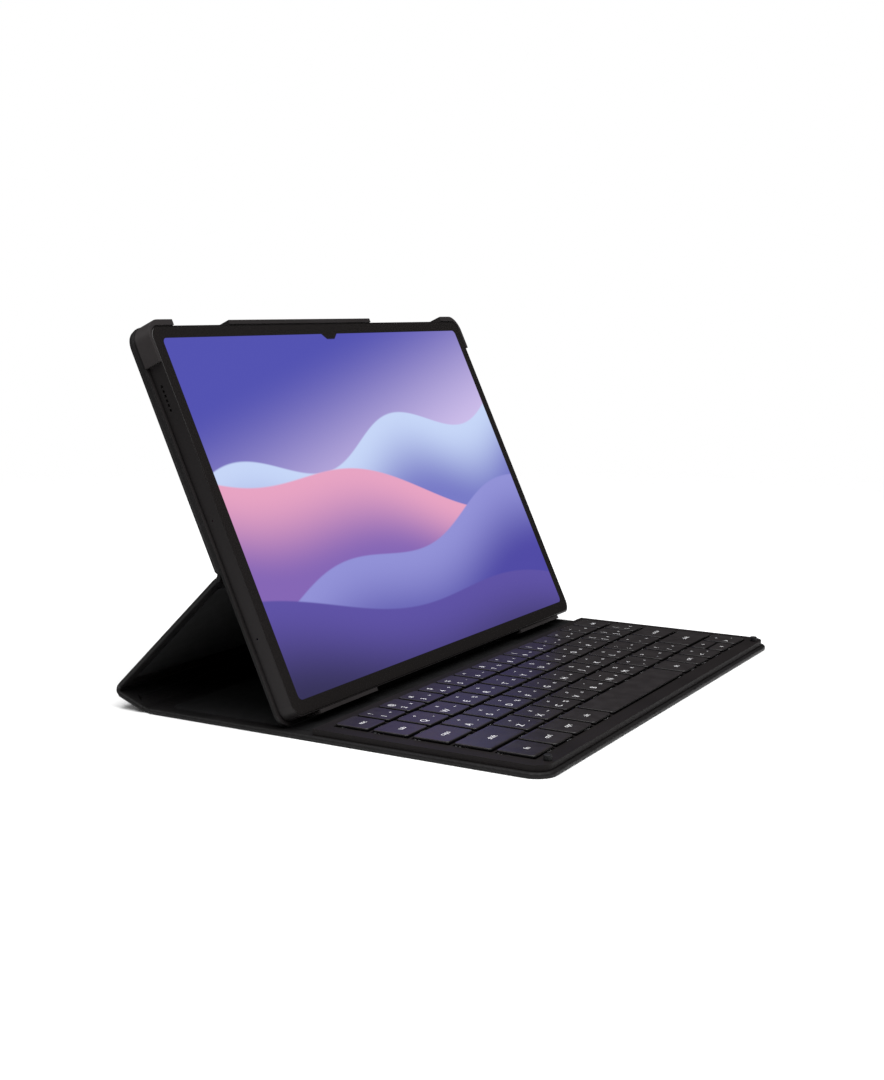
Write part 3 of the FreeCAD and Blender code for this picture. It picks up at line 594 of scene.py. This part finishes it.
def moulded_finish(name, tone, gloss, grain=0.22 * MM, depth=0.03 * MM, shine=0.20, floor=None):
    """Moulded plastic: a fine eroded texture and a faint cloudiness from handling. A darker floor colour, a
    painted shade, takes over where the part lies more than BEHIND_TABLET millimetres below the glass, where
    the tablet shades it."""
    plastic = Finish(name)
    plastic.shader.inputs["Specular IOR Level"].default_value = shine
    place = plastic.place()
    erosion = plastic.noise(grain, 3, place, 0.6)
    handling = plastic.noise(34 * MM, 4, place)
    dark = tuple(0.86 * c for c in tone)
    light = tuple(1.18 * c for c in tone)
    ground = plastic.blend(handling.step(0.3, 0.7), dark, light)
    if floor:
        # Painted shade: deep behind the glass the floor colour replaces the plastic's own.
        depth_in = plastic.parts(plastic.place((MM, MM, MM), tuple(GLASS_FOOT), (STAND_ANGLE, 0, 0)))[2]
        ground = plastic.blend((depth_in + BEHIND_TABLET).step(-0.3, 0.3), floor, ground)
    plastic.set(Base_Color=ground, Roughness=(handling - 0.5) * 0.14 + (erosion - 0.5) * 0.10 + gloss)
    plastic.bump(erosion, depth, 0.6)
    return plastic


DECK_PLASTIC = moulded_finish("textured_deck_plastic", (0.0078, 0.0064, 0.0065), 0.62, shine=0.12)
softened("keyboard_deck", "keyboard_casing", DECK_PLASTIC, 0.38 * MM)
softened("keyboard_bottom_plate", "keyboard_base_plate", DECK_PLASTIC, 0.15 * MM, 2)
RUBBER = moulded_finish("soft_black_rubber", (0.006, 0.006, 0.0065), 0.62, 0.35 * MM, 0.04 * MM, 0.25)
softened("case_bumpers", "corner_pegs", RUBBER, 0.35 * MM, 4, 50)


# ---------------------------------------------------------------- key caps
# Satin dark grey caps, each a shallow dish with rounded corners and a soft top edge. The legends are
# pale ink. Caps that share a node are one piece.

CAP_CORNER = 1.7 * MM
CAP_DISH = 0.10 * MM
CAP_ROUND = 0.42 * MM
CAP_DRAFT = 0.16 * MM
INK_LIFT = 0.03 * MM


def cap_boxes(node):
    """The low and high corner of each cap in a node, from left to right: where no corner lies between
    two neighbours for more than the gap and the cap so far is as wide as a cap, the next one starts."""
    points = corner_points(node)
    points = points[np.argsort(points[:, 0])]
    boxes = []
    for run in np.split(points, np.flatnonzero(np.diff(points[:, 0]) > 0.5 * MM) + 1):
        low, high = run.min(0), run.max(0)
        if boxes and (low[0] - boxes[-1][1][0] < 1.2 * MM or boxes[-1][1][0] - boxes[-1][0][0] < 8 * MM):
            boxes[-1] = (np.minimum(boxes[-1][0], low), np.maximum(boxes[-1][1], high))
        else:
            boxes.append((low, high))
    return boxes


def dish(points, low, high):
    """How far a cap's top sinks at x, y: depth (1 - u^4)(1 - v^4), with u and v from -1 to 1 across it."""
    u, v = (2 * (points[..., i] - low[i]) / (high[i] - low[i]) - 1 for i in (0, 1))
    return CAP_DISH * np.clip(1 - u ** 4, 0, 1) * np.clip(1 - v ** 4, 0, 1)


def cap_rings(low, high):
    """Rings round one cap, from its lower edge up the sides, over the rounded top edge, a quarter
    circle r (1 - cos a), r (1 - sin a), and across the dished top."""
    turn = np.linspace(0, math.pi / 2, 5)
    plan = [(0.3 * MM, low[2]), (0.0, low[2] + 0.1 * MM)]
    plan += list(zip(CAP_DRAFT + CAP_ROUND * (1 - np.cos(turn)), high[2] - CAP_ROUND * (1 - np.sin(turn))))
    half_depth = (high[1] - low[1]) / 2
    inner = [(CAP_DRAFT + CAP_ROUND + share * (half_depth - 1.1 * MM), high[2])
             for share in (0.12, 0.3, 0.5, 0.7, 0.9)]
    rings = []
    for inset, height in plan + inner:
        ring = rounded_outline(low[:2] + inset, high[:2] - inset, max(CAP_CORNER - inset * 0.8, 0.3 * MM),
                               max(CAP_CORNER - inset * 0.8, 0.3 * MM), steps=7)
        rings.append(np.column_stack([ring, np.full(len(ring), height)]))
    rings = np.array(rings)
    top = low[:2] + CAP_DRAFT + CAP_ROUND, high[:2] - CAP_DRAFT - CAP_ROUND
    rings[6:, :, 2] -= dish(rings[6:], *top)
    return rings


def glyph(text, height, place, low, high):
    """Corners and faces of a legend lying on a cap: plain letters, their centre at place."""
    curve = bpy.data.curves.new("legend", "FONT")
    curve.body = text
    curve.size = height
    curve.align_x, curve.align_y = "CENTER", "CENTER"
    curve.resolution_u = 2
    lettering = bpy.data.objects.new("legend", curve)
    bpy.context.scene.collection.objects.link(lettering)
    mesh = bpy.data.meshes.new_from_object(lettering)
    flat = np.empty(len(mesh.vertices) * 3)
    mesh.vertices.foreach_get("co", flat)
    points = flat.reshape(-1, 3) + np.array([*place, 0])
    faces = [tuple(polygon.vertices) for polygon in mesh.polygons]
    bpy.data.objects.remove(lettering)
    bpy.data.curves.remove(curve)
    bpy.data.meshes.remove(mesh)
    points[:, 2] = high[2] + INK_LIFT - dish(points, low[:2] + CAP_ROUND, high[:2] - CAP_ROUND)
    return points, faces


def key_finish():
    """Satin caps: dark grey with a fine sanded texture, pale ink where the ink attribute is 1, and painted
    shade, near black, where the side attribute is 1.
    """
    cap = Finish("satin_key_plastic")
    cap.shader.inputs["Specular IOR Level"].default_value = 0.33
    place = cap.place()
    sand = cap.noise(0.16 * MM, 2, place)
    touch = cap.noise(7 * MM, 3, place)
    ink = cap.node("Attribute", {"attribute_name": "ink"}, {}, "Fac")
    ground = cap.blend(touch.step(0.3, 0.7), (0.0150, 0.0130, 0.0136), (0.0205, 0.0180, 0.0186))
    # Painted shade: the caps' sides and lower edges are painted near black.
    side = cap.node("Attribute", {"attribute_name": "side"}, {}, "Fac")
    ground = cap.blend(side * 0.9, ground, (0.0012, 0.0011, 0.0012))
    cap.set(Base_Color=cap.blend(ink, ground, (0.80, 0.80, 0.80)),
            Roughness=(touch - 0.5) * 0.12 + (sand - 0.5) * 0.06 + 0.34)
    cap.bump(sand, 0.012 * MM, 0.5)
    return cap


KEY_PLASTIC = key_finish()
LEGENDS = {
    "escape_key": ["esc"], "number_keys": list("1234567890-=`"), "backspace_key": ["del"],
    "tab_key": ["tab"], "upper_letter_keys": list("QWERTYUIOP[]\\"),
    "caps_lock_key": ["caps"], "home_letter_keys": list("ASDFGHJKL;'"), "enter_key": ["enter"],
    "left_shift_key": ["shift"], "lower_letter_keys": list("ZXCVBNM,./"), "right_shift_key": ["shift"],
    "modifier_keys": ["fn", "ctrl", "opt", "alt"], "space_bar": [""], "right_modifier_keys": ["alt", "ctrl"],
    "left_arrow_key": ["<"], "up_arrow_key": ["^"], "down_arrow_key": ["v"], "right_arrow_key": [">"],
}
SHIFTED = dict(zip("1234567890-=`[]\\;',./", "!@#$%^&*()_+~{}|:\"<>?"))
SMALL_MARKS = "+x=o-~%*n"


def cap_legends(text, number, low, high):
    """Where a cap's legends go: a letter key has its letter at the lower left and two small marks, a
    number or sign key has its two characters one above the other and a small mark, a word is centred."""
    width, depth = (high - low)[:2]
    if not text:
        return []
    if len(text) > 1:
        return [(text, min(3.7 * MM, 1.5 * width / len(text)), (low[0] + width / 2, low[1] + 0.45 * depth))]
    if depth < 10 * MM:
        return [(text, 4.2 * MM, (low[0] + width / 2, low[1] + 0.45 * depth))]
    third = SMALL_MARKS[number % len(SMALL_MARKS)]
    if text in SHIFTED:
        return [(text, 4.2 * MM, (low[0] + 0.27 * width, low[1] + 0.30 * depth)),
                (SHIFTED[text], 3.9 * MM, (low[0] + 0.27 * width, low[1] + 0.71 * depth)),
                (third, 3.0 * MM, (low[0] + 0.72 * width, low[1] + 0.36 * depth))]
    return [(text, 4.7 * MM, (low[0] + 0.27 * width, low[1] + 0.34 * depth)),
            (third, 3.2 * MM, (low[0] + 0.50 * width, low[1] + 0.74 * depth)),
            (SMALL_MARKS[(number + 4) % len(SMALL_MARKS)], 3.6 * MM,
             (low[0] + 0.75 * width, low[1] + 0.36 * depth))]


def key_piece(node, texts):
    """All of a node's caps and their legends as one mesh. The ink attribute is 1 on legends, and the
    side attribute falls from 1 to 0 from a cap's sides over its rounded edge; it paints the sides darker as
    painted shade."""
    points, faces, ink, side = [], [], [], []
    total = 0
    for number, ((low, high), text) in enumerate(zip(cap_boxes(node), texts)):
        rings = cap_rings(low, high)
        # How much painted shade each ring of a cap gets: full on the sides, none past the rounded edge.
        below = np.interp(np.arange(len(rings)), [2, 4.5], [1, 0])
        blocks = [(rings.reshape(-1, 3), ring_faces(*rings.shape[:2]), 0.0, np.repeat(below, rings.shape[1]))]
        for mark_text, size, place in cap_legends(text, number, low, high):
            corners, polygons = glyph(mark_text, size, place, low, high)
            blocks.append((corners, polygons, 1.0, np.zeros(len(corners))))
        for corners, polygons, inked, sides in blocks:
            points.append(corners)
            faces += [tuple(i + total for i in polygon) for polygon in polygons]
            ink.append(np.full(len(corners), inked))
            side.append(sides)
            total += len(corners)
    name = node.replace("_key", "_cap").replace("_bar", "_bar_cap")
    piece = make_piece(name, np.concatenate(points), faces, KEY_PLASTIC)
    mark(piece, "ink", np.concatenate(ink))
    mark(piece, "side", np.concatenate(side))
    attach(piece, node)
    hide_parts(node)


for node, texts in LEGENDS.items():
    key_piece(node, texts)


# ---------------------------------------------------------------- tray
# A hard moulded tray glued to the upper back panel: two corner caps, a strip along the top and two
# lips below hold the tablet, and a coated steel strip in its foot meets the magnets in the base.

# The dark floor colour is painted shade on the tray's floor behind the tablet.
TRAY_PLASTIC = moulded_finish("tray_plastic", (0.0215, 0.0190, 0.0192), 0.52,
                              0.30 * MM, 0.035 * MM, 0.14, (0.0030, 0.0028, 0.0028))
softened("tray_shell", "tablet_tray", TRAY_PLASTIC, 0.45 * MM, 4)


# ---------------------------------------------------------------- tablet housing
# A bead-blasted aluminium shell, milled with a row of speaker slots and a microphone hole on each
# short side, and slots for the two buttons in its top edge.

def blasted_metal():
    """Anodised dark grey metal: tiny even pits, and a faint drift in tone."""
    metal = Finish("blasted_dark_metal", Metallic=0.35)
    metal.shader.inputs["Specular IOR Level"].default_value = 0.15
    place = metal.place()
    pits = metal.noise(0.14 * MM, 2, place)
    drift = metal.noise(60 * MM, 2, place)
    metal.set(Base_Color=metal.blend(drift, (0.0125, 0.0110, 0.0112), (0.0170, 0.0152, 0.0155)),
              Roughness=(pits - 0.5) * 0.15 + 0.46)
    metal.bump(pits, 0.012 * MM, 0.5)
    return metal


BLASTED_METAL = blasted_metal()
softened("tablet_housing", "tablet_shell", BLASTED_METAL, 0.22 * MM, 3)
for button in ("tablet_power_button", "tablet_volume_button"):
    softened(button, button.replace("tablet_", "side_"), BLASTED_METAL, 0.25 * MM)
softened("rear_camera_plate", "camera_plate", BLASTED_METAL, 0.3 * MM)


# ---------------------------------------------------------------- cover glass and lit display
# One sheet of glass with a rounded edge. Behind it a black border frames the lit picture, with a
# small tab at the top for the camera. The picture is a plain one of this maker's own: soft hills at dusk.

GLASS_LOW, GLASS_HIGH = flat_box("tablet_glass", "tray")
BORDER_SIDE, BORDER_BOTTOM, BORDER_TOP = 6.3 * MM, 6.2 * MM, 5.5 * MM
GLASS_CORNER = 5.6 * MM
PICTURE_CORNER = 2.6 * MM
EDGE_GLASS = 0.45 * MM
TAB_DEPTH, TAB_HALF, TAB_SLANT = 2.9, 3.5, 1.3
HILL_DEPTH = 46


def picture_finish():
    """The glass: black and glossy, and lit where the picture shows through. Distances are in
    millimetres in the tray's flat frame. A hill fills all that is below its ridge, which is a level
    plus a slope times x plus one sine wave, and it darkens with the depth below that ridge."""
    glass = Finish("lit_cover_glass", Roughness=0.07)
    glass.shader.inputs["Specular IOR Level"].default_value = 0.25
    flat = glass.place((MM, MM, MM), tuple(GLASS_FOOT), (STAND_ANGLE, 0, 0))
    x, s, _ = glass.parts(flat)

    half = (GLASS_HIGH[0] - BORDER_SIDE) / MM
    bottom, top = (GLASS_LOW[1] + BORDER_BOTTOM) / MM, (GLASS_HIGH[1] - BORDER_TOP) / MM
    middle, rise, round_off = (bottom + top) / 2, (top - bottom) / 2, PICTURE_CORNER / MM
    dx = (x.size() - (half - round_off)).most(0)
    ds = ((s - middle).size() - (rise - round_off)).most(0)
    inside = ((dx ** 2 + ds ** 2) ** 0.5 * -1 + round_off).step(-0.12, 0.12)
    up_tab = s - (top - TAB_DEPTH)
    tab = (up_tab * TAB_SLANT + TAB_HALF - x.size()).step(-0.4, 0.4) * up_tab.step(-0.4, 0.4)
    mask = inside * (1 - tab)

    picture = glass.blend((s - x * 0.25).step(70, 175), (0.62, 0.52, 0.80), (0.075, 0.075, 0.40))
    hills = [
        # level, slope, swing, wave length, start, colour at the ridge, colour far below it
        (118, 0.10, 9, 150, 0.4, (0.52, 0.62, 0.86), (0.17, 0.18, 0.52)),
        (92, -0.16, 8, 210, 2.1, (0.74, 0.34, 0.50), (0.21, 0.12, 0.42)),
        (62, 0.14, 7, 180, 4.0, (0.26, 0.26, 0.62), (0.07, 0.06, 0.34)),
        (34, -0.09, 6, 240, 5.3, (0.10, 0.075, 0.34), (0.030, 0.026, 0.085)),
    ]
    for level, slope, swing, wave, start, ridge_tone, foot_tone in hills:
        depth = (x * (2 * math.pi / wave) + start).sine() * swing + x * slope + level - s
        hill = glass.blend(depth.step(0, HILL_DEPTH), ridge_tone, foot_tone)
        picture = glass.blend(depth.step(-0.6, 0.6), picture, hill)

    smear = glass.noise(45 * MM, 4)
    glass.set(Base_Color=glass.blend(mask, (0.0115, 0.0102, 0.0100), (0.004, 0.004, 0.006)),
              Emission_Color=glass.blend(mask, (0, 0, 0), picture), Roughness=smear * 0.05 + 0.05)
    glass.shader.inputs["Emission Strength"].default_value = 1.08
    return glass


def rounded_glass():
    """The sheet as rings: flat back, straight sides, a quarter-round front edge, flat front."""
    turn = np.linspace(0, math.pi / 2, 6)
    plan = [(2 * MM, GLASS_LOW[2]), (0, GLASS_LOW[2])]
    plan += list(zip(EDGE_GLASS * (1 - np.cos(turn)), GLASS_HIGH[2] - EDGE_GLASS * (1 - np.sin(turn))))
    plan += [(2 * MM, GLASS_HIGH[2])]
    rings = []
    for inset, height in plan:
        radius = GLASS_CORNER - inset
        ring = rounded_outline(GLASS_LOW[:2] + inset, GLASS_HIGH[:2] - inset, radius, radius, steps=13)
        rings.append(np.column_stack([ring, np.full(len(ring), height)]))
    piece = make_piece("cover_glass", stand_up(np.array(rings), "tray"),
                       ring_faces(len(rings), len(rings[0])), picture_finish())
    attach(piece, "tablet")
    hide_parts("tablet_glass", "tablet_display")


rounded_glass()


# ---------------------------------------------------------------- fittings on the right edge
# The keyboard's charge socket, slide switch and lights sit in the right wall of its casing.

def plated_finish(name, tone, gloss):
    """Plated or brushed metal with fine lengthwise scratches."""
    metal = Finish(name, Metallic=1.0)
    scratches = metal.noise(0.5 * MM, 3, metal.place((12, 1, 1)))
    dark = tuple(0.85 * c for c in tone)
    metal.set(Base_Color=metal.blend(scratches, dark, tone), Roughness=scratches * 0.2 + gloss)
    metal.bump(scratches, 0.006 * MM, 0.4)
    return metal


STEEL = plated_finish("plated_steel", (0.55, 0.55, 0.57), 0.22)
BLACK_STEEL = plated_finish("blackened_steel", (0.06, 0.06, 0.065), 0.38)
SWITCH_PLASTIC = moulded_finish("switch_plastic", (0.035, 0.035, 0.038), 0.45)
LIGHT_PIPE = moulded_finish("frosted_light_pipe", (0.55, 0.58, 0.60), 0.30)
paint_node("charge_port", STEEL)
softened("power_switch", "slide_switch", SWITCH_PLASTIC, 0.15 * MM)
paint_node("status_leds", LIGHT_PIPE)
paint_node("deck_screws", BLACK_STEEL)
paint_node("foot_steel_strip", BLACK_STEEL)
paint_node("stand_magnets", STEEL)
paint_node("panel_magnets", STEEL)


# ---------------------------------------------------------------- lenses
# Dark coated glass over the front camera and the cameras on the back.

def lens_finish():
    """Near-black glass whose coating drifts towards blue, faintly smeared."""
    lens = Finish("coated_lens")
    lens.shader.inputs["Specular IOR Level"].default_value = 0.3
    smear = lens.noise(2.5 * MM, 3)
    lens.set(Base_Color=lens.blend(smear.step(0.35, 0.7), (0.003, 0.003, 0.005), (0.010, 0.012, 0.034)),
             Roughness=smear * 0.08 + 0.05)
    return lens


LENS = lens_finish()
paint_node("front_camera", LENS)
softened("rear_camera_lenses", "camera_lenses", LENS, 0.12 * MM)


# ---------------------------------------------------------------- inner parts
# What the panels, the keyboard and the tablet hold inside; only seen when the case is taken apart.

def fibre_board():
    """Grey pressed board flecked with paler fibres."""
    board = Finish("fibre_board", Roughness=0.85)
    flecks = board.noise(1.2 * MM, 5, board.place((1, 3, 1)), 0.7)
    tone = board.blend(flecks.step(0.4, 0.65), (0.13, 0.125, 0.115), (0.24, 0.22, 0.19))
    board.set(Base_Color=tone)
    board.bump(flecks, 0.05 * MM, 0.5)
    return board


def circuit_finish(name, ground, track, pitch):
    """Tracks running side by side on a coated sheet, joined here and there."""
    circuit = Finish(name, Roughness=0.35)
    x, y, _ = circuit.parts(circuit.place((pitch, pitch, pitch)))
    drift = circuit.noise(6 * pitch, 1)
    lines = (x * 6.28 + drift * 9).sine().step(0.2, 0.4)
    circuit.set(Base_Color=circuit.blend(lines, ground, track))
    circuit.bump(lines, 0.02 * MM, 0.6)
    return circuit


BOARD = fibre_board()
for stiff in ("base_board", "spine_board", "lower_back_board", "upper_back_board"):
    paint_node(stiff, BOARD)
PRINTED_FILM = circuit_finish("printed_film", (0.10, 0.13, 0.12), (0.42, 0.43, 0.42), 2.2 * MM)
paint_node("key_circuit_sheet", PRINTED_FILM)
paint_node("key_dome_sheet", moulded_finish("grey_silicone", (0.30, 0.30, 0.31), 0.55))
GREEN_BOARD = circuit_finish("green_circuit_board", (0.010, 0.060, 0.028), (0.030, 0.14, 0.06), 1.1 * MM)
paint_node("controller_board", GREEN_BOARD)
paint_node("tablet_logic_board", GREEN_BOARD)
FOIL = plated_finish("battery_foil", (0.42, 0.43, 0.45), 0.35)
paint_node("keyboard_battery", FOIL)
paint_node("tablet_battery", FOIL)
paint_node("tablet_speakers", SWITCH_PLASTIC)
